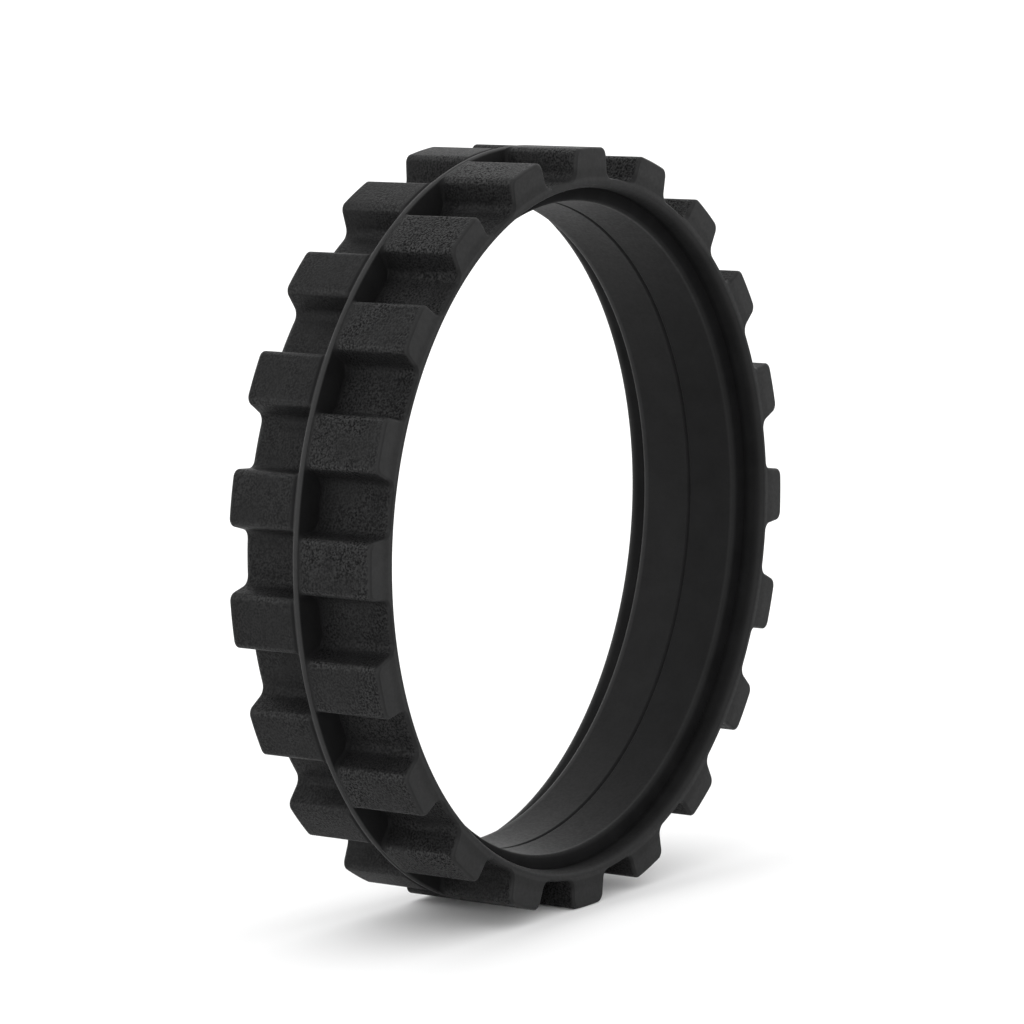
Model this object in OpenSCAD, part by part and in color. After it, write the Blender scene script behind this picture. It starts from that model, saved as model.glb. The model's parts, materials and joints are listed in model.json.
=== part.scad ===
// Slip-on rubber tread ring for a small drive wheel, moulded in one piece of black rubber.
// It stands upright on its lugs: the axis lies along Y and the front face looks along -Y.
// The origin is the centre of the ring. All sizes are in millimetres.
// Each moulded region is a solid of its own, and neighbours meet face to face.

/* [Overall] */
// Outer diameter over the lug tips
outer_d = 72; // [66:0.5:84]
// Width between the front and rear side faces
width = 15.6; // [14:0.2:20]

/* [Tread] */
// Number of lugs in each of the two rows
lugs_per_row = 20; // [16:1:22]
// Height of a lug above the floor between lugs
lug_h = 2.8; // [2:0.1:3.6]
// Width of a lug across its tip, measured round the ring
lug_top = 5.1; // [3.6:0.1:5.6]
// Draft of a lug's two flanks
lug_draft = 6; // [2:0.5:9]
// Radius of the hollow fillet where a flank meets the floor
lug_fillet = 1; // [0.4:0.1:1]
// Radius of the rounded edge where a flank meets the tip
lug_round = 0.6; // [0.2:0.05:0.8]
// Angle of the first front lug, counted from the top towards -X
lug_phase = 17.8; // [0:0.1:18]
// Thickness of the thin rib that divides the two rows
rib_t = 0.6; // [0.4:0.1:1.2]
// How far the rib stands from the middle of the width, towards the rear
rib_shift = 0.4; // [0:0.1:1]

/* [Band and lips] */
// Wall thickness of the band under the tread, and of the two lips
band_t = 1; // [0.6:0.1:1.4]
// Radius of the rounded inner edge of each lip, at most 0.1 less than the lip's wall
lip_round = 0.8; // [0.2:0.05:0.8]

/* [Wheel seat] */
// Height of the seat above the inner wall of the lips
seat_h = 1.3; // [0.6:0.1:2]
// Width of the cylindrical part of the seat, which grips the wheel's rim
seat_w = 10; // [8:0.2:11]
// Lean of the step between the seat and a lip, in degrees from the side plane
step_lean = 12; // [5:1:30]
// Radius of the rounded edge between the seat and the step
step_round = 0.5; // [0.1:0.05:0.6]
// Half the width of the parting groove round the middle of the seat
groove_half = 0.25; // [0.1:0.05:0.5]
// Depth of the parting groove
groove_d = 0.2; // [0.1:0.05:0.4]

/* [Hidden] */
// Fragments of a full circle
$fn = 180;
// Segments in each small rounding
ROUND_STEPS = 5;
// How far a lug's outline runs past the floor and past the tip before it is trimmed
TRIM = 1;

tip_r = outer_d / 2;
root_r = tip_r - lug_h;
band_r = root_r - band_t;
seat_r = band_r - seat_h;
face_y = width / 2;
seat_end = seat_w / 2;
// Where the line of the step meets the seat's surface, and where it reaches the lip
step_start = seat_end + step_round * tan(45 - step_lean / 2);
step_end = step_start + seat_h * tan(step_lean);
pitch = 360 / lugs_per_row;

function two_digits(n) = str(n < 10 ? "0" : "", n);
function lug_name(row, i) = str(row, "_lug_", two_digits(i));

// Points of an arc about c, from angle a0 to angle a1
function arc(c, r, a0, a1) =
    [for (i = [0:ROUND_STEPS]) let (a = a0 + (a1 - a0) * i / ROUND_STEPS) c + r * [cos(a), sin(a)]];

// A lug is drawn about +Y of its own outline, with +X along the ring.
// Its flank is a straight line through flank_top, leaning out by the draft towards the floor.
flank_top = tip_r * [sin(lug_top / 2 / tip_r * 180 / PI), cos(lug_top / 2 / tip_r * 180 / PI)];
flank_out = [cos(lug_draft), sin(lug_draft)];
flank_down = [sin(lug_draft), -cos(lug_draft)];

// Point at radius r from the axis that lies d outside the flank
function beside_flank(r, d) =
    let (p = flank_top + d * flank_out, b = p * flank_down)
    p + (-b - sqrt(b * b - p * p + r * r)) * flank_down;

// Centres of the circles that round the root and the tip of the flank
fillet_c = beside_flank(root_r + lug_fillet, lug_fillet);
round_c = beside_flank(tip_r - lug_round, -lug_round);

function direction(v) = atan2(v[1], v[0]);

// Right half of the outline, from below the floor up to above the tip
lug_half = concat(
    [(root_r - TRIM) / norm(fillet_c) * fillet_c],
    arc(fillet_c, lug_fillet, direction(fillet_c) - 180, direction(flank_out) - 180),
    arc(round_c, lug_round, direction(flank_out), direction(round_c)),
    [(tip_r + TRIM) / norm(round_c) * round_c]
);

module mirrored_outline(half) {
    count = len(half);
    polygon(concat(half, [for (i = [1:count]) [-half[count - i][0], half[count - i][1]]]));
}

// Turns a shape whose axis is Z, front up, so that its front looks along -Y
module stand_up() {
    rotate([90, 0, 0]) children();
}

// Moves a shape made for the front half to the rear half
module rear_side() {
    mirror([0, 1, 0]) children();
}

module plain_ring(inner, outer, from_y, to_y) {
    stand_up()
        rotate_extrude()
            translate([inner, from_y]) square([outer - inner, to_y - from_y]);
}

// Lug rising from the floor, from a distance ahead of the middle to the front side face
module lug(angle, from_y) {
    stand_up()
        rotate([0, 0, angle])
            translate([0, 0, from_y])
                linear_extrude(height = face_y - from_y)
                    intersection() {
                        mirrored_outline(lug_half);
                        difference() {
                            circle(r = tip_r);
                            circle(r = root_r);
                        }
                    }
}

module front_lug(i) {
    color([0.16, 0.16, 0.165]) lug(lug_phase + (i - 1) * pitch, rib_t / 2 - rib_shift);
}

// The rear row is set half a pitch on from the front row
module rear_lug(i) {
    color([0.15, 0.15, 0.155])
        rear_side() lug(lug_phase + (i - 0.5) * pitch, rib_t / 2 + rib_shift);
}

// Plain tube under the tread, between the two lips
module tread_band() {
    color([0.11, 0.11, 0.115]) plain_ring(band_r, root_r, -step_end, step_end);
}

// Thin continuous rib between the rows, as high as the lugs
module centre_rib() {
    color([0.2, 0.2, 0.205])
        plain_ring(root_r, tip_r, -rib_shift - rib_t / 2, -rib_shift + rib_t / 2);
}

// Thin edge of the ring, with a rounded inner corner at the side face
module lip() {
    edge = min(lip_round, band_t - 0.1);
    corner = [band_r + edge, face_y - edge];
    stand_up()
        rotate_extrude()
            polygon(concat(
                [[root_r, step_end], [root_r, face_y]],
                arc(corner, edge, 90, 180),
                [[band_r, step_end]]
            ));
}

module front_lip() {
    color([0.18, 0.18, 0.185]) lip();
}

module rear_lip() {
    color([0.18, 0.18, 0.185]) rear_side() lip();
}

// Half of the raised band that grips the rim, with a sloping step at its outer end
// and half of the parting groove at its inner end
module seat() {
    edge = [seat_r + step_round, seat_end];
    stand_up()
        rotate_extrude()
            polygon(concat(
                [[band_r, 0], [band_r, step_end]],
                arc(edge, step_round, 90 + step_lean, 180),
                [[seat_r, groove_half], [seat_r + groove_d, 0]]
            ));
}

module front_seat() {
    color([0.13, 0.13, 0.135]) seat();
}

module rear_seat() {
    color([0.14, 0.14, 0.145]) rear_side() seat();
}

tread_band();
centre_rib();
front_lip();
rear_lip();
front_seat();
rear_seat();
for (i = [1:lugs_per_row]) {
    front_lug(i);
    rear_lug(i);
}
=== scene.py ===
"""Looks of a slip-on rubber tread ring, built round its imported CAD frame.

The ring stands upright on the floor. Its axis lies along Y, its front face looks along -Y and its
centre is the origin. Every piece stands for one CAD node, rides on the one body and keeps the CAD
sizes; what is added here is the roundings, fillets and hollows of the moulding, and its materials.
"""
import json
import math

import bpy
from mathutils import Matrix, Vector


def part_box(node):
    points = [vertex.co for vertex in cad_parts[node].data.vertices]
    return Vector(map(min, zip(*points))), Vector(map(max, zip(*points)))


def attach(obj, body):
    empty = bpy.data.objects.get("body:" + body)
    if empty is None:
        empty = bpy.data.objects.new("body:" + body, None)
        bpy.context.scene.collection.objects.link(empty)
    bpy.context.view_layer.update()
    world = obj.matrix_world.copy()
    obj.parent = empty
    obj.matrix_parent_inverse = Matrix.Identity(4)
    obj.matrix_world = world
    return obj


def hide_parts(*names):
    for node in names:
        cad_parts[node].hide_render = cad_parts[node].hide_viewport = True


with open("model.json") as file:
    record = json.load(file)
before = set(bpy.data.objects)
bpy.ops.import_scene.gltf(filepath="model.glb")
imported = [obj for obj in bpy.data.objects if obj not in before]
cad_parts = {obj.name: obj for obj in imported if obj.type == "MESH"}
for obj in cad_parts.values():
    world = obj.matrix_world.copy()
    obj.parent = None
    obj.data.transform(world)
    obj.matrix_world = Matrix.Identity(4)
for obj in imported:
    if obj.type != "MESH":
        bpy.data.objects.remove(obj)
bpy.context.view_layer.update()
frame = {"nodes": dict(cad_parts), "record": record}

MM = 0.001
BODY = "root"


# ---------------------------------------------------------------- sizes from the frame

def radii(node):
    """Smallest and largest distance of a CAD node's corners from the ring's axis."""
    found = [math.hypot(v.co.x, v.co.z) for v in frame["nodes"][node].data.vertices]
    return min(found), max(found)


def middle_angle(node):
    """Angle of the middle of a CAD lug, from the top towards -X."""
    found = [v.co for v in frame["nodes"][node].data.vertices]
    about = math.atan2(-sum(p.x for p in found), sum(p.z for p in found))
    across = [-(p.x * math.cos(about) + p.z * math.sin(about)) for p in found]
    along = [p.z * math.cos(about) - p.x * math.sin(about) for p in found]
    turns = [math.atan2(a, b) for a, b in zip(across, along)]
    return about + (min(turns) + max(turns)) / 2


seat_mount = next(m for m in frame["record"]["mounts"] if m["name"] == "wheel_seat")
BAND_R, ROOT_R = radii("tread_band")
TIP_R = radii("centre_rib")[1]
SEAT_R = seat_mount["dims"]["r_mm"] * MM
SEAT_Y = seat_mount["dims"]["length_mm"] * MM / 2
RIB_FRONT, RIB_REAR = (corner.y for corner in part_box("centre_rib"))
RIB_MIDDLE = (RIB_FRONT + RIB_REAR) / 2
RIB_HALF = (RIB_REAR - RIB_FRONT) / 2
STEP_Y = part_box("tread_band")[1].y
FACE_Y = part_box("rear_lip")[1].y
LUGS = len([n for n in frame["nodes"] if n.startswith("front_lug_")])

# ---------------------------------------------------------------- shape of the moulding

LUG_TOP = 5.1 * MM
LUG_DRAFT = math.radians(6)
LUG_FILLET = 1.0 * MM
LUG_ROUND = 0.75 * MM
# Rounding where a lug's tip and flanks meet the side face
LUG_EDGE = 0.28 * MM
# Hollow fillet where a flank meets the rib's wall
POCKET_FILLET = 0.4 * MM
# How far, and over what width, a lug's top dips beside the rib
RIB_DIP = 0.08 * MM
RIB_DIP_WIDTH = 0.25 * MM
RIB_ROUND = 0.96 * RIB_HALF
# Draft that thickens each side of the rib from its crest down to its foot
RIB_FLARE = 0.12 * MM
# Outer edge of a lip between two lugs: its fall along the radius and along the axis
FLOOR_EDGE_FALL = 0.22 * MM
FLOOR_EDGE_RUN = 0.5 * MM
# Inner edge of a lip, given the same way
LIP_EDGE_RISE = 0.5 * MM
LIP_EDGE_RUN = 1.1 * MM
# Step between the seat and a lip: its lean from the side plane and the rounding of its edge
STEP_LEAN = math.radians(12)
STEP_ROUND = 0.5 * MM
GROOVE_HALF = 0.2 * MM
GROOVE_DEPTH = 0.15 * MM
GROOVE_ROUND = 0.06 * MM
# Radius down to which a lug or the rib is sunk into the band, out of sight
SUNK = ROOT_R - FLOOR_EDGE_FALL - 0.1 * MM
# How far a lug's inner end reaches into the rib, out of sight
LUG_INTO_RIB = 0.8 * RIB_HALF
# How far the seat reaches into the band and the lips, so that no gap shows at its foot
TOE_SINK = 0.015 * MM
# How far a lip's side face lies behind the lugs' side faces, so that the two don't coincide
LIP_BACK = 0.004 * MM

# Steps round a whole ring, in each kind of arc and along each part of a lug
RING_STEPS = 480
FLAT_ARC_STEPS = 6
SMALL_ARC_STEPS = 8
LARGE_ARC_STEPS = 10
POCKET_ROWS = 7
FLAT_ROWS = 7
FACE_ROWS = 8
# Angle, in degrees, from which an edge between two faces is shaded sharp
RING_SHARP = 40
LUG_SHARP = 50


def arc(centre, radius, start, end, steps):
    """Points of a circle's arc in a plane, from angle start to angle end."""
    turns = [start + (end - start) * i / steps for i in range(steps + 1)]
    return [(centre[0] + radius * math.cos(t), centre[1] + radius * math.sin(t)) for t in turns]


def oval_arc(centre, width, height, start, end, steps):
    """Points of an arc stretched to a width along the radius and a height along the axis."""
    return [
        (centre[0] + width * x, centre[1] + height * y)
        for x, y in arc((0, 0), 1, start, end, steps)
    ]


def smooth_mesh(name, points, faces, sharp_angle):
    """A mesh piece, smooth apart from its sharp edges, with its shading led by its larger faces."""
    mesh = bpy.data.meshes.new(name)
    mesh.from_pydata(points, [], faces)
    mesh.validate()
    mesh.shade_smooth()
    mesh.set_sharp_from_angle(angle=math.radians(sharp_angle))
    piece = bpy.data.objects.new(name, mesh)
    bpy.context.scene.collection.objects.link(piece)
    normals = piece.modifiers.new("normals", "WEIGHTED_NORMAL")
    normals.keep_sharp = True
    return piece


def lathe(name, profile):
    """A full ring turned about Y from a closed outline of (radius, y) points."""
    count = len(profile)
    points = []
    for step in range(RING_STEPS):
        turn = 2 * math.pi * step / RING_STEPS
        points += [(r * math.cos(turn), y, r * math.sin(turn)) for r, y in profile]
    faces = []
    for step in range(RING_STEPS):
        a, b = step * count, (step + 1) % RING_STEPS * count
        faces += [(a + i, a + (i + 1) % count, b + (i + 1) % count, b + i) for i in range(count)]
    return smooth_mesh(name, points, faces, RING_SHARP)


# ---------------------------------------------------------------- lugs

FLANK_TOP = Vector((TIP_R * math.sin(LUG_TOP / 2 / TIP_R), TIP_R * math.cos(LUG_TOP / 2 / TIP_R)))
FLANK_OUT = Vector((math.cos(LUG_DRAFT), math.sin(LUG_DRAFT)))
FLANK_DOWN = Vector((math.sin(LUG_DRAFT), -math.cos(LUG_DRAFT)))


def beside_flank(radius, gap):
    """Point at that radius from the axis that lies gap outside the lug's flank."""
    p = FLANK_TOP + gap * FLANK_OUT
    b = p.dot(FLANK_DOWN)
    return p + (-b - math.sqrt(b * b - p.dot(p) + radius * radius)) * FLANK_DOWN


def direction(v):
    """Angle of a vector in its plane."""
    return math.atan2(v[1], v[0])


def lug_outline(flank_in, toe_r, top_r):
    """Outline of a lug across the ring, with its flanks moved in and given floor and top radii."""
    flank_turn = direction(FLANK_OUT)
    fillet = beside_flank(toe_r + LUG_FILLET, LUG_FILLET - flank_in)
    rounding = beside_flank(top_r - LUG_ROUND, -LUG_ROUND - flank_in)
    toe_turn, top_turn = direction(fillet), direction(rounding)
    half = arc((0, 0), SUNK, math.pi / 2, toe_turn, FLAT_ARC_STEPS)[1:]
    half += arc(fillet, LUG_FILLET, toe_turn - math.pi, flank_turn - math.pi, LARGE_ARC_STEPS)
    half += arc(rounding, LUG_ROUND, flank_turn, top_turn, SMALL_ARC_STEPS)
    half += arc((0, 0), top_r, top_turn, math.pi / 2, FLAT_ARC_STEPS)[1:]
    return half + [(-x, y) for x, y in reversed(half[:-1])] + [(0, SUNK)]


def fallen(distance, fall, run):
    """How far a rounded edge has fallen away at that distance from the face it runs into."""
    share = max(1 - max(distance, 0) / run, 0)
    return fall * (1 - math.sqrt(1 - share * share))


def lug_stations(rib_y):
    """Distances along the axis for a lug's cross-sections, close together where its edges round."""
    start, end = rib_y + POCKET_FILLET, FACE_Y - FLOOR_EDGE_RUN
    quarters = [math.pi / 2 * i / POCKET_ROWS for i in range(POCKET_ROWS + 1)]
    near_rib = [rib_y + POCKET_FILLET * (1 - math.cos(turn)) for turn in quarters]
    flat = [start + (end - start) * i / FLAT_ROWS for i in range(1, FLAT_ROWS)]
    quarters = [math.pi / 2 * i / FACE_ROWS for i in range(FACE_ROWS + 1)]
    near_face = [end + FLOOR_EDGE_RUN * math.sin(turn) for turn in quarters]
    return [rib_y - LUG_INTO_RIB] + near_rib + flat + near_face


def lug(name, side):
    """A lug between the rib and a side face; side is -1 for the front row and 1 for the rear row."""
    middle = middle_angle(name)
    rib_y = RIB_REAR if side > 0 else -RIB_FRONT
    points, stations = [], lug_stations(rib_y)
    for y in stations:
        edge = fallen(FACE_Y - y, LUG_EDGE, LUG_EDGE)
        flare = fallen(y - rib_y, POCKET_FILLET, POCKET_FILLET)
        dip = RIB_DIP * max(1 - max(y - rib_y, 0) / RIB_DIP_WIDTH, 0) ** 2
        toe_r = ROOT_R - fallen(FACE_Y - y, FLOOR_EDGE_FALL, FLOOR_EDGE_RUN)
        outline = lug_outline(edge - flare, toe_r, TIP_R - edge - dip)
        for across, out in outline:
            x = -(across * math.cos(middle) + out * math.sin(middle))
            z = out * math.cos(middle) - across * math.sin(middle)
            points.append((x, side * y, z))
    count = len(points) // len(stations)
    faces = [tuple(range(count))]
    for row in range(len(stations) - 1):
        a, b = row * count, (row + 1) * count
        faces += [(a + i, b + i, b + (i + 1) % count, a + (i + 1) % count) for i in range(count)]
    last = (len(stations) - 1) * count
    faces.append(tuple(last + i for i in reversed(range(count))))
    if side > 0:
        faces = [tuple(reversed(f)) for f in faces]
    return smooth_mesh(name + "_piece", points, faces, LUG_SHARP)


# ---------------------------------------------------------------- turned rings

def centre_rib():
    """The thin rib: a rounded crest and walls that thicken downwards."""
    crest = (TIP_R - RIB_ROUND, RIB_HALF - RIB_ROUND)
    half = [(SUNK, RIB_HALF + RIB_FLARE), (ROOT_R, RIB_HALF + RIB_FLARE)]
    half += arc(crest, RIB_ROUND, math.pi / 2, 0, SMALL_ARC_STEPS)
    outline = half + [(r, -y) for r, y in reversed(half)]
    return lathe("centre_rib_piece", [(r, RIB_MIDDLE + y) for r, y in outline])


def tread_band():
    """The plain tube that the lugs stand on."""
    corners = [(BAND_R, -STEP_Y), (ROOT_R, -STEP_Y), (ROOT_R, STEP_Y), (BAND_R, STEP_Y)]
    return lathe("tread_band_piece", corners)


def lip(name, side):
    """A lip, rounded at the outer and the inner edge of its side face."""
    face_y = FACE_Y - LIP_BACK
    outer = (ROOT_R - FLOOR_EDGE_FALL, face_y - FLOOR_EDGE_RUN)
    inner = (BAND_R + LIP_EDGE_RISE, face_y - LIP_EDGE_RUN)
    profile = [(ROOT_R, STEP_Y)]
    profile += oval_arc(outer, FLOOR_EDGE_FALL, FLOOR_EDGE_RUN, 0, math.pi / 2, SMALL_ARC_STEPS)
    profile += oval_arc(inner, LIP_EDGE_RISE, LIP_EDGE_RUN, math.pi / 2, math.pi, LARGE_ARC_STEPS)
    profile += [(BAND_R, STEP_Y)]
    return lathe(name + "_piece", [(r, side * y) for r, y in profile])


def seat(name, side):
    """Half the raised seat: a leaning step with a rounded edge, a plain wall and half a groove."""
    step = Vector((math.cos(STEP_LEAN), math.sin(STEP_LEAN)))
    edge = Vector((SEAT_R + STEP_ROUND, SEAT_Y))
    start = edge + STEP_ROUND * Vector((-step[1], step[0]))
    foot = start + (BAND_R + TOE_SINK - start[0]) / step[0] * step
    profile = [(BAND_R + TOE_SINK, 0), tuple(foot)]
    profile += arc(edge, STEP_ROUND, STEP_LEAN + math.pi / 2, math.pi, LARGE_ARC_STEPS)
    profile += [
        (SEAT_R, GROOVE_HALF + GROOVE_ROUND),
        (SEAT_R + GROOVE_ROUND / 4, GROOVE_HALF),
        (SEAT_R + GROOVE_DEPTH, GROOVE_ROUND),
        (SEAT_R + GROOVE_DEPTH, 0),
    ]
    return lathe(name + "_piece", [(r, side * y) for r, y in profile])


# ---------------------------------------------------------------- materials

class Nodes:
    """Short names for the few shader nodes that the materials use."""

    def __init__(self, name):
        self.material = bpy.data.materials.new(name)
        self.material.use_nodes = True
        self.tree = self.material.node_tree
        self.shader = self.tree.nodes["Principled BSDF"]
        self.place = self.add("ShaderNodeTexCoord").outputs["Object"]

    def add(self, kind, **settings):
        node = self.tree.nodes.new(kind)
        for key, value in settings.items():
            setattr(node, key, value)
        return node

    def link(self, out, into):
        self.tree.links.new(out, into)

    def noise(self, size, detail=2.0, roughness=0.5):
        """Noise whose largest blotches are about size metres across."""
        node = self.add("ShaderNodeTexNoise")
        node.inputs["Scale"].default_value = 1 / size
        node.inputs["Detail"].default_value = detail
        node.inputs["Roughness"].default_value = roughness
        self.link(self.place, node.inputs["Vector"])
        return node.outputs["Fac"]

    def spread(self, value, low, high, span=(0.3, 0.7)):
        """Maps a span of a value to low..high."""
        node = self.add("ShaderNodeMapRange")
        node.inputs["From Min"].default_value = span[0]
        node.inputs["From Max"].default_value = span[1]
        node.inputs["To Min"].default_value = low
        node.inputs["To Max"].default_value = high
        self.link(value, node.inputs["Value"])
        return node.outputs["Result"]

    def beyond(self, value, span):
        """0 where a value is below a span, rising to 1 beyond it."""
        return self.spread(value, 0, 1, span)

    def within(self, value, span):
        """1 where a value is below a span, falling to 0 beyond it."""
        return self.spread(value, 1, 0, span)

    def factor(self, mask, most):
        """1 where a mask is 0, and most where it is 1."""
        return self.spread(mask, 1, most, (0, 1))

    def tint(self, value, dark, light):
        """Colour between two greys."""
        node = self.add("ShaderNodeMix", data_type="RGBA")
        self.link(value, node.inputs["Factor"])
        node.inputs["A"].default_value = (*dark, 1)
        node.inputs["B"].default_value = (*light, 1)
        return node.outputs["Result"]

    def times(self, *values):
        """Product of two or more values."""
        product = values[0]
        for value in values[1:]:
            node = self.add("ShaderNodeMath", operation="MULTIPLY")
            self.link(product, node.inputs[0])
            self.link(value, node.inputs[1])
            product = node.outputs["Value"]
        return product

    def blend(self, share, value):
        """0.5, moved to a value by a share."""
        node = self.add("ShaderNodeMix", data_type="FLOAT")
        node.inputs["A"].default_value = 0.5
        self.link(value, node.inputs["B"])
        self.link(share, node.inputs["Factor"])
        return node.outputs["Result"]

    def apart(self, value, centre):
        """How far a value is from a centre."""
        node = self.add("ShaderNodeMath", operation="SUBTRACT")
        self.link(value, node.inputs[0])
        node.inputs[1].default_value = centre
        size = self.add("ShaderNodeMath", operation="ABSOLUTE")
        self.link(node.outputs["Value"], size.inputs[0])
        return size.outputs["Value"]

    def bump(self, height, depth, under=None):
        """Relief of that depth in metres, on top of another relief."""
        node = self.add("ShaderNodeBump")
        node.inputs["Distance"].default_value = depth
        node.inputs["Strength"].default_value = 1.0
        self.link(height, node.inputs["Height"])
        if under:
            self.link(under, node.inputs["Normal"])
        return node.outputs["Normal"]


# The fine grain of the tread's outer faces, the contrast it takes from its noise, and where it fades
GRAIN_SIZE = 0.19 * MM
GRAIN_DEPTH = 0.035 * MM
GRAIN_CONTRAST = (0.36, 0.64)
GRAIN_ABOVE_FLOOR = (ROOT_R - 0.12 * MM, ROOT_R - 0.04 * MM)
GRAIN_OFF_RIB = (RIB_HALF + 0.1 * MM, RIB_HALF + 0.6 * MM)
GRAIN_OFF_SIDE = (FACE_Y - 0.4 * MM, FACE_Y - 0.15 * MM)
# The grain is crisper in some patches than in others, and in the front row than in the rear row
PATCH_SIZE = 4 * MM
PATCH_LEAST = 0.5
PATCH_CONTRAST = (0.4, 0.6)
REAR_GRAIN = 0.65
ROW_CHANGE = (-1 * MM, 1 * MM)

# How many times glossier or duller than the rest a part of the rubber is: painted highlights on the
# rib's crest, the side faces' edges, the flanks' edges, the lips' rims and the seat's edges, and
# painted shade beside the rib, on the side faces and in the seat's corners and feet
CREST_PAINTED_HIGHLIGHT = 2.8
RIB_PAINTED_SHADE = 0.5
FACE_PAINTED_SHADE = 0.7
SIDE_EDGE_PAINTED_HIGHLIGHT = 1.7
FLANK_PAINTED_HIGHLIGHT = 1.6
RIM_PAINTED_HIGHLIGHT = 1.5
SEAT_PAINTED_HIGHLIGHT = 2.0
CORNER_PAINTED_SHADE = 0.3
FOOT_PAINTED_SHADE = 0.2

# Where each of those parts fades out, as distances from the axis, from a middle or from an edge
RIB_WALL = (RIB_HALF + 0.15 * MM, RIB_HALF + 0.35 * MM)
RIB_ABOVE_FLOOR = (ROOT_R - 0.2 * MM, ROOT_R - 0.1 * MM)
CREST_WIDTH = (0.8 * RIB_HALF, 1.1 * RIB_HALF)
CREST_HEIGHT = (TIP_R - RIB_ROUND, TIP_R - RIB_ROUND / 3)
SIDE_PLANE = (FACE_Y - 0.12 * MM, FACE_Y - 0.02 * MM)
SIDE_EDGE_Y = FACE_Y - 0.15 * MM
SIDE_EDGE_WIDTH = (0.05 * MM, 0.25 * MM)
SIDE_EDGE_ABOVE = (ROOT_R + 0.6 * MM, ROOT_R + 1.2 * MM)
FLANK_EDGE_R = TIP_R - 0.2 * MM
FLANK_EDGE_WIDTH = (0.14 * MM, 0.2 * MM)
FLANK_OFF_RIB = (RIB_HALF + 0.3 * MM, RIB_HALF + 0.6 * MM)
FLANK_OFF_SIDE = (FACE_Y - 0.5 * MM, FACE_Y - 0.3 * MM)
RIM_FROM_Y = (FACE_Y - 0.6 * MM, FACE_Y - 0.3 * MM)
RIM_R = (ROOT_R + BAND_R) / 2
RIM_WIDTH = (0.45 * MM, 0.6 * MM)
SEAT_EDGE_Y = SEAT_Y + 0.05 * MM
SEAT_EDGE_WIDTH = (0.15 * MM, 0.35 * MM)
SEAT_EDGE_DEPTH = (SEAT_R + 0.4 * MM, SEAT_R + 0.6 * MM)
CORNER_R = (SEAT_R + BAND_R) / 2 + 0.2 * MM
CORNER_WIDTH = (0.55 * MM, 0.85 * MM)
CORNER_TO_Y = (STEP_Y + 1.2 * MM, STEP_Y + 1.9 * MM)
FOOT_Y = STEP_Y + 0.1 * MM
FOOT_WIDTH = (0.2 * MM, 0.5 * MM)

# Blotches of tone, specks of roughness, and two reliefs that all the rubber has
BLOTCH_SIZE = 3.0 * MM
TONE_CHANGE = 0.2
SPECK_SIZE = 0.35 * MM
ROUGH_CHANGE = 0.06
SWELL_SIZE = 1.6 * MM
SWELL_DEPTH = 0.012 * MM
FINE_SIZE = 0.09 * MM
FINE_DEPTH = 0.0015 * MM
# Where the gloss changes from the front half's to the rear half's; the difference is painted light:
# a duller front half of the seat as painted shade, a glossier front row of the tread as painted
# highlight
HALF_CHANGE = (-0.2 * MM, 0.2 * MM)
RUBBER_IOR = 1.45


def ring_place(n):
    """Distance from the ring's axis, and place along it."""
    parts = n.add("ShaderNodeSeparateXYZ")
    n.link(n.place, parts.inputs["Vector"])
    flat = n.add("ShaderNodeCombineXYZ")
    n.link(parts.outputs["X"], flat.inputs["X"])
    n.link(parts.outputs["Z"], flat.inputs["Z"])
    radius = n.add("ShaderNodeVectorMath", operation="LENGTH")
    n.link(flat.outputs["Vector"], radius.inputs[0])
    return radius.outputs["Value"], parts.outputs["Y"]


def tread_grain(n, radius, along):
    """1 on the outer faces of the tread, fading to 0 on side faces, beside the rib and inside."""
    outside = n.beyond(radius, GRAIN_ABOVE_FLOOR)
    off_rib = n.beyond(n.apart(along, RIB_MIDDLE), GRAIN_OFF_RIB)
    off_side = n.within(n.apart(along, 0), GRAIN_OFF_SIDE)
    patches = n.spread(n.noise(PATCH_SIZE), PATCH_LEAST, 1, PATCH_CONTRAST)
    rows = n.spread(along, 1, REAR_GRAIN, ROW_CHANGE)
    return n.times(outside, off_rib, off_side, n.times(patches, rows))


def rib_painted_light(n, radius, along):
    """How many times glossier the rubber is: painted shade beside the rib, and a painted highlight
    on its crest.
    """
    off_rib = n.apart(along, RIB_MIDDLE)
    beside = n.times(n.within(off_rib, RIB_WALL), n.beyond(radius, RIB_ABOVE_FLOOR))
    crest = n.times(n.within(off_rib, CREST_WIDTH), n.beyond(radius, CREST_HEIGHT))
    return n.times(n.factor(beside, RIB_PAINTED_SHADE), n.factor(crest, CREST_PAINTED_HIGHLIGHT / RIB_PAINTED_SHADE))


def face_painted_light(n, radius, along):
    """The same for the side faces, given painted shade, and for painted highlights along the edges
    between them and the lugs' tips.
    """
    off_middle = n.apart(along, 0)
    face = n.spread(off_middle, 1, FACE_PAINTED_SHADE, SIDE_PLANE)
    edge = n.within(n.apart(off_middle, SIDE_EDGE_Y), SIDE_EDGE_WIDTH)
    return n.times(face, n.factor(n.times(edge, n.beyond(radius, SIDE_EDGE_ABOVE)), SIDE_EDGE_PAINTED_HIGHLIGHT))


def edge_painted_highlight(n, radius, along):
    """The same for painted highlights along the edges between a lug's tip and its flanks, and on a
    lip's rim.
    """
    off_middle = n.apart(along, 0)
    edge = n.within(n.apart(radius, FLANK_EDGE_R), FLANK_EDGE_WIDTH)
    off_rib = n.beyond(n.apart(along, RIB_MIDDLE), FLANK_OFF_RIB)
    flank = n.times(edge, off_rib, n.within(off_middle, FLANK_OFF_SIDE))
    rim = n.times(n.beyond(off_middle, RIM_FROM_Y), n.within(n.apart(radius, RIM_R), RIM_WIDTH))
    return n.times(n.factor(flank, FLANK_PAINTED_HIGHLIGHT), n.factor(rim, RIM_PAINTED_HIGHLIGHT))


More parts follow.
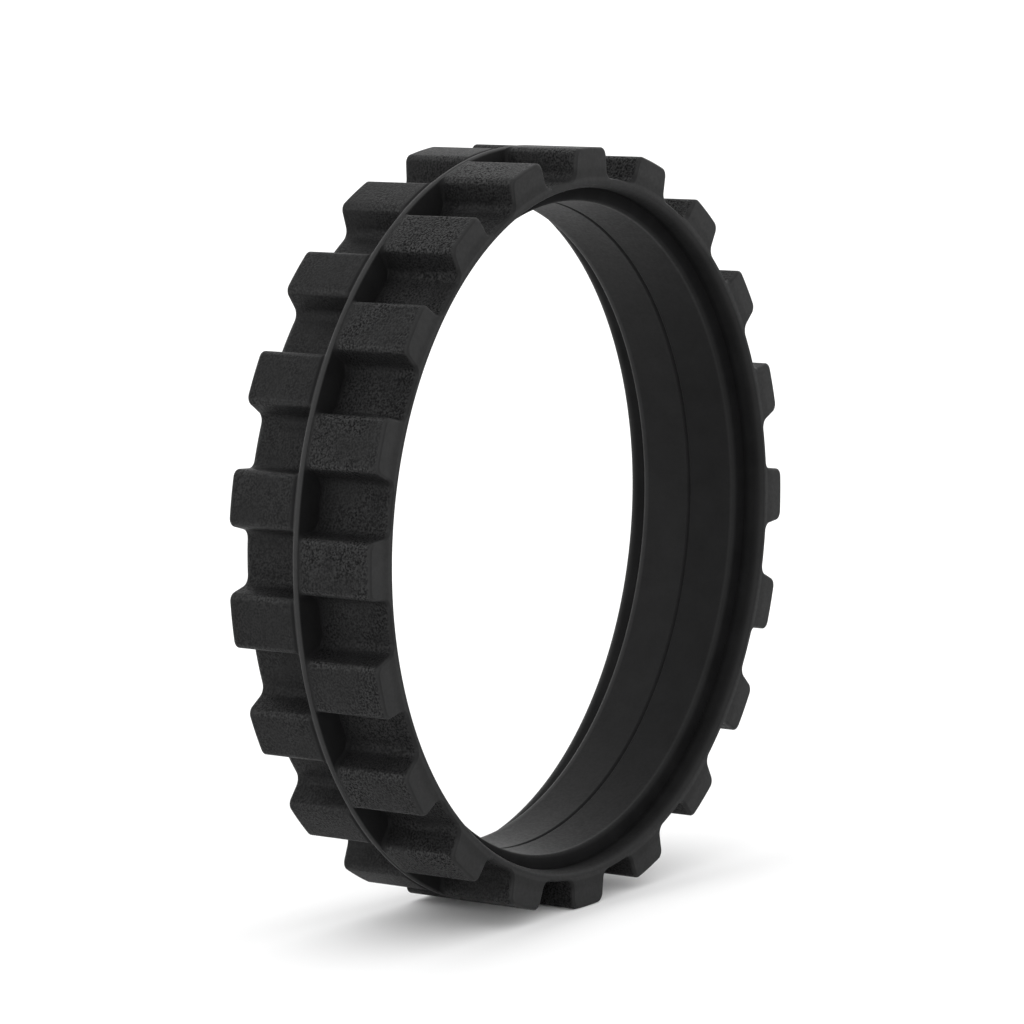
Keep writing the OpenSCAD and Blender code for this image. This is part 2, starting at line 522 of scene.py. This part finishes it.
def seat_painted_light(n, radius, along):
    """The same for painted highlights on the seat's edges, and for painted shade in the corners
    outside them and at the step's foot.
    """
    off_middle = n.apart(along, 0)
    edge = n.within(n.apart(off_middle, SEAT_EDGE_Y), SEAT_EDGE_WIDTH)
    painted_edge_highlight = n.factor(n.times(edge, n.within(radius, SEAT_EDGE_DEPTH)), SEAT_PAINTED_HIGHLIGHT)
    corner = n.within(n.apart(radius, CORNER_R), CORNER_WIDTH)
    painted_corner_shade = n.factor(n.times(corner, n.within(off_middle, CORNER_TO_Y)), CORNER_PAINTED_SHADE)
    foot = n.within(n.apart(off_middle, FOOT_Y), FOOT_WIDTH)
    return n.times(painted_edge_highlight, painted_corner_shade, n.factor(n.times(foot, corner), FOOT_PAINTED_SHADE))


def rubber(name, shade, rough, gloss, front_gloss_with_painted_light):
    """Near-black moulded rubber: smooth all over but for a fine grain on the tread's outer faces."""
    n = Nodes(name)
    radius, along = ring_place(n)
    grainy = tread_grain(n, radius, along)
    blotches = n.spread(n.noise(BLOTCH_SIZE, detail=5, roughness=0.6), 0, 1)
    specks = n.noise(SPECK_SIZE, detail=3, roughness=0.7)
    dark, light = ([share * c for c in shade] for share in (1 - TONE_CHANGE, 1 + TONE_CHANGE))
    n.link(n.tint(blotches, dark, light), n.shader.inputs["Base Color"])
    roughness = n.spread(specks, rough - ROUGH_CHANGE, rough + ROUGH_CHANGE)
    n.link(roughness, n.shader.inputs["Roughness"])
    swell = n.bump(n.noise(SWELL_SIZE), SWELL_DEPTH)
    fine = n.bump(n.noise(FINE_SIZE), FINE_DEPTH, swell)
    grains = n.beyond(n.noise(GRAIN_SIZE, detail=1.5), GRAIN_CONTRAST)
    n.link(n.bump(n.times(grains, grainy), GRAIN_DEPTH, fine), n.shader.inputs["Normal"])
    # The front half's gloss carries painted shade on the seat and a painted highlight on the tread
    mean = n.spread(along, front_gloss_with_painted_light, gloss, HALF_CHANGE)
    # The grain's crests are glossier than its hollows
    gloss_and_painted_light = n.times(mean, n.spread(n.blend(grainy, grains), 0, 2, (0, 1)))
    # Painted highlights and painted shade of each part, multiplied into the gloss
    for painted_light in (rib_painted_light, face_painted_light, edge_painted_highlight, seat_painted_light):
        gloss_and_painted_light = n.times(gloss_and_painted_light, painted_light(n, radius, along))
    n.link(gloss_and_painted_light, n.shader.inputs["Specular IOR Level"])
    n.shader.inputs["IOR"].default_value = RUBBER_IOR
    return n.material


DULL_BLACK = (0.0076, 0.0076, 0.0078)
SATIN_BLACK = (0.0066, 0.0066, 0.0068)
TREAD = rubber("tread_rubber", DULL_BLACK, rough=0.58, gloss=0.15, front_gloss_with_painted_light=0.17)
EDGE = rubber("edge_rubber", DULL_BLACK, rough=0.58, gloss=0.14, front_gloss_with_painted_light=0.14)
SEAT = rubber("seat_rubber", SATIN_BLACK, rough=0.56, gloss=0.13, front_gloss_with_painted_light=0.095)


# ---------------------------------------------------------------- pieces

def place(piece, node, material):
    """Gives a piece its material and its body, and hides the CAD node it stands for."""
    piece.data.materials.append(material)
    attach(piece, BODY)
    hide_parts(node)


place(tread_band(), "tread_band", TREAD)
place(centre_rib(), "centre_rib", TREAD)
for row, side in (("front", -1), ("rear", 1)):
    place(lip(row + "_lip", side), row + "_lip", EDGE)
    place(seat(row + "_seat", side), row + "_seat", SEAT)
    for number in range(1, LUGS + 1):
        node = f"{row}_lug_{number:02d}"
        place(lug(node, side), node, TREAD)


# ---------------------------------------------------------------- floor, light and camera

FLOOR_HALF = 8.0
FLOOR_BLOTCH = 0.4
FLOOR_DARK = (0.9, 0.9, 0.9)
FLOOR_LIGHT = (0.91, 0.91, 0.91)
FLOOR_ROUGH = 0.9
FLOOR_GLOSS = 0.1

# Strength of the white surround at the horizon and overhead, and the height where it stops changing
HORIZON_GLOW = 2.05
OVERHEAD_GLOW = 1.1
OVERHEAD_FROM = 0.9
LAMP_POWER = 0.15
LAMP_SPREAD = math.radians(70)
LAMP_FROM = Vector((-0.25, 0.2, 1))

# The camera stands to the left of the front, a little above the ring
CAMERA_TURN = math.radians(-56.65)
CAMERA_RISE = math.radians(7.15)
CAMERA_DISTANCE = 426 * MM
CAMERA_LENS = 157.5
CAMERA_SENSOR = 36
CAMERA_NEAR = 0.01
CAMERA_FAR = 50
AIM_LEFT = 0.86 * MM
AIM_UP = 1.22 * MM


def floor():
    """A plain pale sheet under the ring."""
    corners = [(-1, -1), (1, -1), (1, 1), (-1, 1)]
    mesh = bpy.data.meshes.new("floor")
    mesh.from_pydata(
        [(FLOOR_HALF * x, FLOOR_HALF * y, -TIP_R) for x, y in corners], [], [(0, 1, 2, 3)])
    piece = bpy.data.objects.new("floor", mesh)
    bpy.context.scene.collection.objects.link(piece)
    n = Nodes("floor_paper")
    n.link(n.tint(n.noise(FLOOR_BLOTCH), FLOOR_DARK, FLOOR_LIGHT), n.shader.inputs["Base Color"])
    n.shader.inputs["Roughness"].default_value = FLOOR_ROUGH
    n.shader.inputs["Specular IOR Level"].default_value = FLOOR_GLOSS
    mesh.materials.append(n.material)


def surround():
    """A white world, as inside a light tent, dimmer overhead."""
    world = bpy.data.worlds.new("studio")
    world.use_nodes = True
    tree = world.node_tree
    back = tree.nodes["Background"]
    back.inputs["Color"].default_value = (1, 1, 1, 1)
    coords = tree.nodes.new("ShaderNodeTexCoord")
    split = tree.nodes.new("ShaderNodeSeparateXYZ")
    ramp = tree.nodes.new("ShaderNodeMapRange")
    ramp.inputs["From Min"].default_value = 0
    ramp.inputs["From Max"].default_value = OVERHEAD_FROM
    ramp.inputs["To Min"].default_value = HORIZON_GLOW
    ramp.inputs["To Max"].default_value = OVERHEAD_GLOW
    tree.links.new(coords.outputs["Generated"], split.inputs["Vector"])
    tree.links.new(split.outputs["Z"], ramp.inputs["Value"])
    tree.links.new(ramp.outputs["Result"], back.inputs["Strength"])
    bpy.context.scene.world = world


def overhead_lamp():
    """One very soft light from above."""
    light = bpy.data.lights.new("overhead", "SUN")
    light.energy = LAMP_POWER
    light.angle = LAMP_SPREAD
    lamp = bpy.data.objects.new("overhead", light)
    lamp.rotation_euler = LAMP_FROM.to_track_quat("Z", "Y").to_euler()
    bpy.context.scene.collection.objects.link(lamp)


def camera():
    """The camera, at the photograph's angle."""
    data = bpy.data.cameras.new("camera")
    data.lens = CAMERA_LENS
    data.sensor_width = CAMERA_SENSOR
    data.clip_start = CAMERA_NEAR
    data.clip_end = CAMERA_FAR
    eye = bpy.data.objects.new("camera", data)
    bpy.context.scene.collection.objects.link(eye)
    out = Vector((
        math.sin(CAMERA_TURN) * math.cos(CAMERA_RISE),
        -math.cos(CAMERA_TURN) * math.cos(CAMERA_RISE),
        math.sin(CAMERA_RISE),
    ))
    right = Vector((math.cos(CAMERA_TURN), math.sin(CAMERA_TURN), 0))
    up = out.cross(right)
    eye.location = CAMERA_DISTANCE * out - AIM_LEFT * right + AIM_UP * up
    eye.rotation_euler = out.to_track_quat("Z", "Y").to_euler()
    bpy.context.scene.camera = eye


floor()
surround()
overhead_lamp()
bpy.context.scene.view_settings.view_transform = "Standard"
camera()

bpy.context.view_layer.update()
